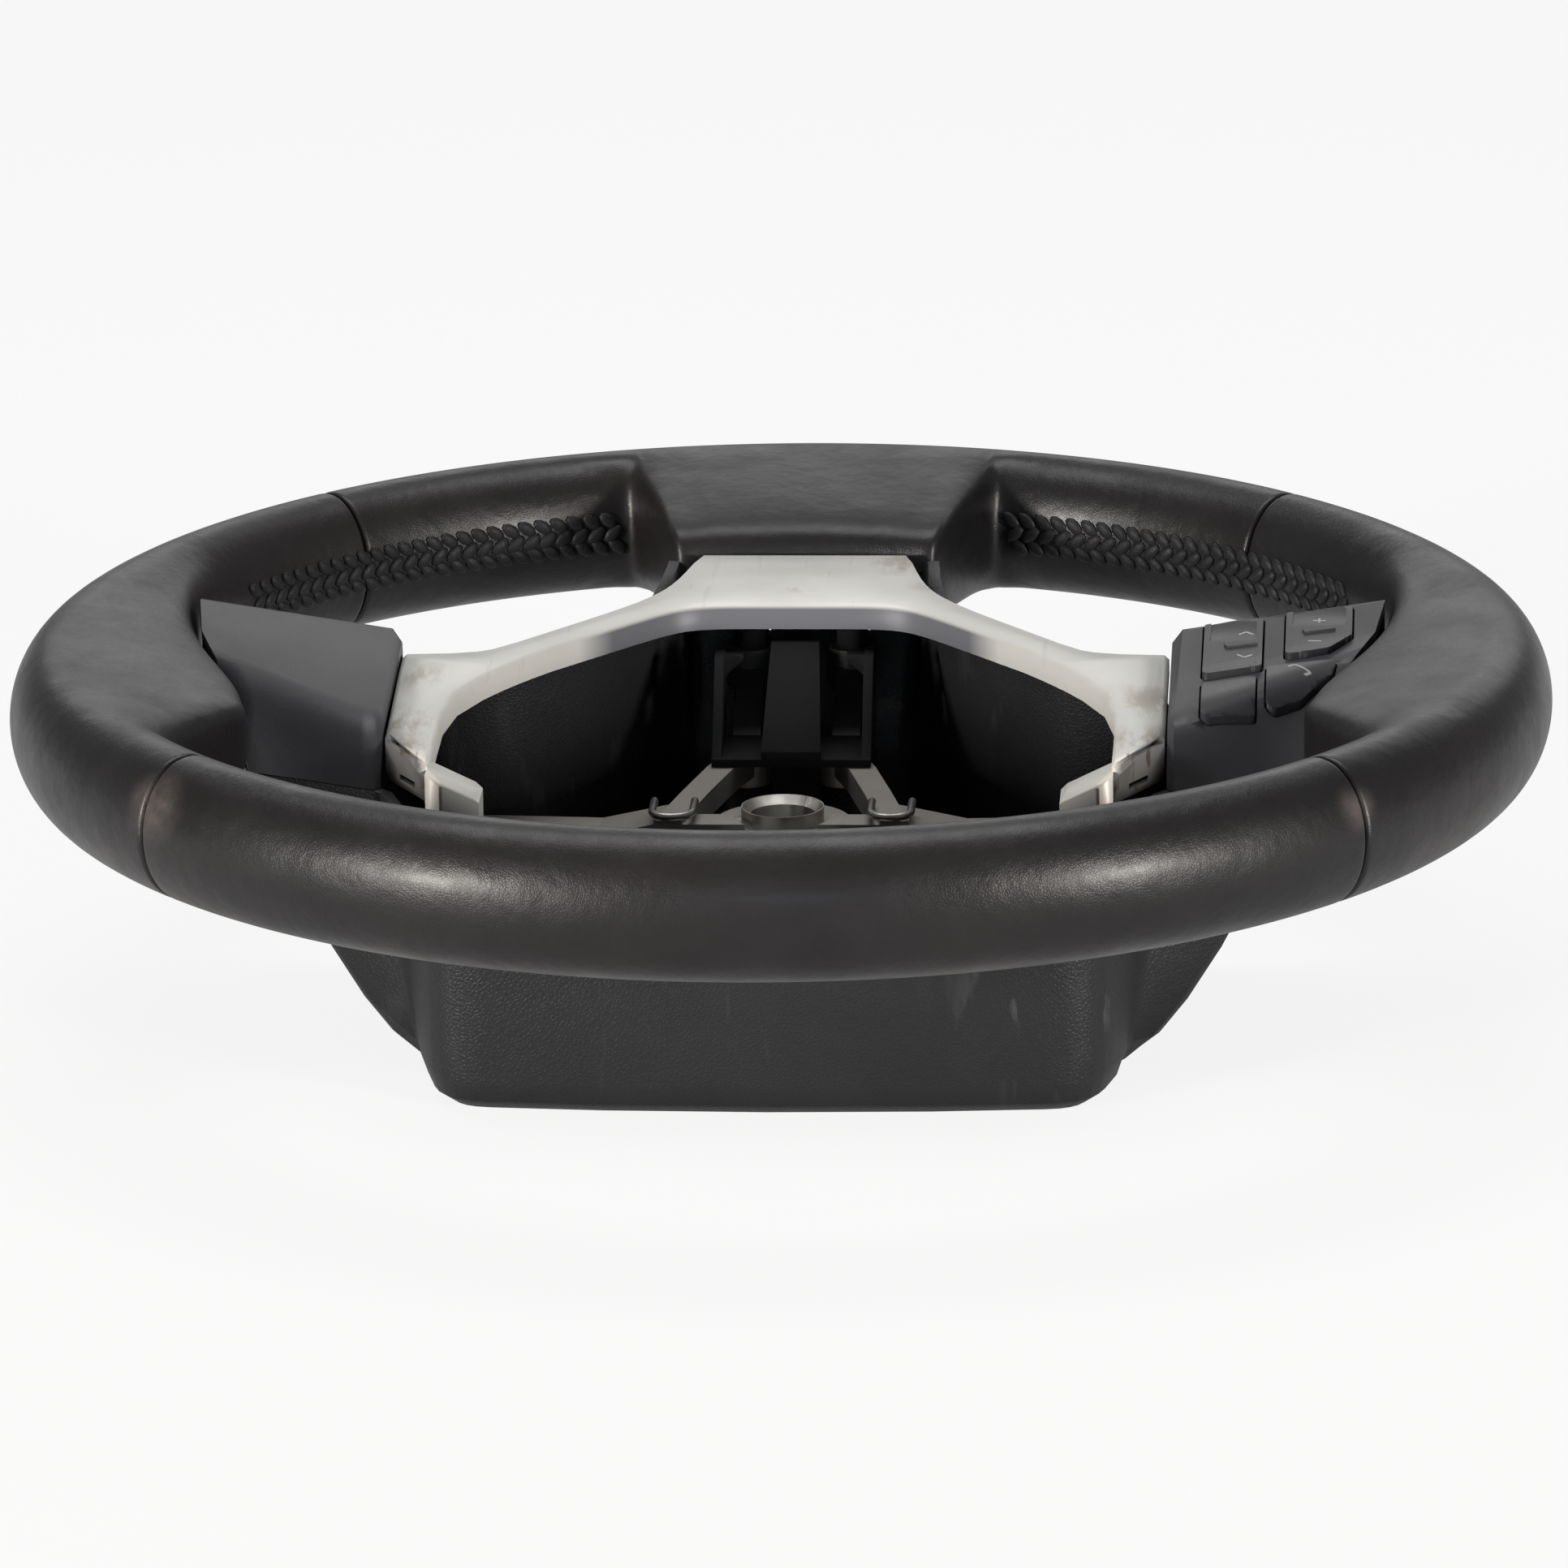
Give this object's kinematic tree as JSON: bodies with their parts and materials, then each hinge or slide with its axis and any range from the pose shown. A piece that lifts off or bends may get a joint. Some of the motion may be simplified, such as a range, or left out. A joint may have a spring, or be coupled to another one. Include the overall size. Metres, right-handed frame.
{
  "type": "car steering wheel",
  "caption": "Three-spoke leather rim on a cast armature with a silver lower trim, spoke keys and a deep rear cover, shown without its centre pad.",
  "frame": {"origin": "centre of the column bore, on the rear face of the hub", "axes": "+Z along the column towards the driver, +Y to 12 o'clock, +X to the driver's right"},
  "size_m": [0.38, 0.3796, 0.099],
  "materials": {
    "cast_metal": "sand-cast light alloy, dull, with a fine grain",
    "steel": "turned steel, lightly tarnished",
    "foam": "moulded foam skin, matt",
    "leather": "smooth black leather, fine grain, worn glossy at the seams",
    "lacing": "plaited black cord, satin",
    "silver_paint": "silver painted moulding, satin, with small scratches and smudges",
    "spoke_plastic": "soft black paint, finely grained, worn in places",
    "key_plastic": "black key caps, satin, with pale marks",
    "inner_plastic": "dark grey moulded plastic",
    "circuit_board": "green solder resist",
    "mat_rubber": "silicone rubber",
    "cover_plastic": "black grained plastic, scuffed on its corner",
    "dark_steel": "blackened steel screws"
  },
  "bodies": {
    "wheel": {"armature": "cast_metal", "hub_insert": "steel", "rim_foam": "foam", "leather_top": "leather", "leather_right": "leather", "leather_left": "leather", "leather_bottom": "leather", "lacing": "lacing", "trim": "silver_paint", "right_spoke_cover": "spoke_plastic", "switch_bezel": "spoke_plastic", "switch_housing": "inner_plastic", "switch_board": "circuit_board", "switch_mat": "mat_rubber", "spoke_bracket": "inner_plastic", "rear_cover": "cover_plastic", "cover_screws": "dark_steel", "trim_screws": "dark_steel", "switch_screws": "dark_steel", "pad_springs": "steel"},
    "seek_key": {"seek_rocker": "key_plastic"},
    "volume_key": {"volume_rocker": "key_plastic"},
    "mode_key": {"mode_button": "key_plastic"},
    "phone_key": {"phone_button": "key_plastic"}
  },
  "joints": [
    {"name": "seek_rock", "type": "hinge", "parent": "wheel", "child": "seek_key", "pos_m": [-0.1112, -0.015, 0.0544], "axis": [1, 0, 0], "range_deg": [-3, 3], "stiffness_Nm_per_rad": 0.15},
    {"name": "volume_rock", "type": "hinge", "parent": "wheel", "child": "volume_key", "pos_m": [-0.1324, -0.026, 0.0552], "axis": [1, 0, 0], "range_deg": [-3, 3], "stiffness_Nm_per_rad": 0.15},
    {"name": "mode_push", "type": "slide", "parent": "wheel", "child": "mode_key", "axis": [0, -0.1044, -0.9945], "range_m": [0, 0.0012], "stiffness_N_per_m": 800},
    {"name": "phone_push", "type": "slide", "parent": "wheel", "child": "phone_key", "axis": [0, -0.1044, -0.9945], "range_m": [0, 0.0012], "stiffness_N_per_m": 800}
  ]
}
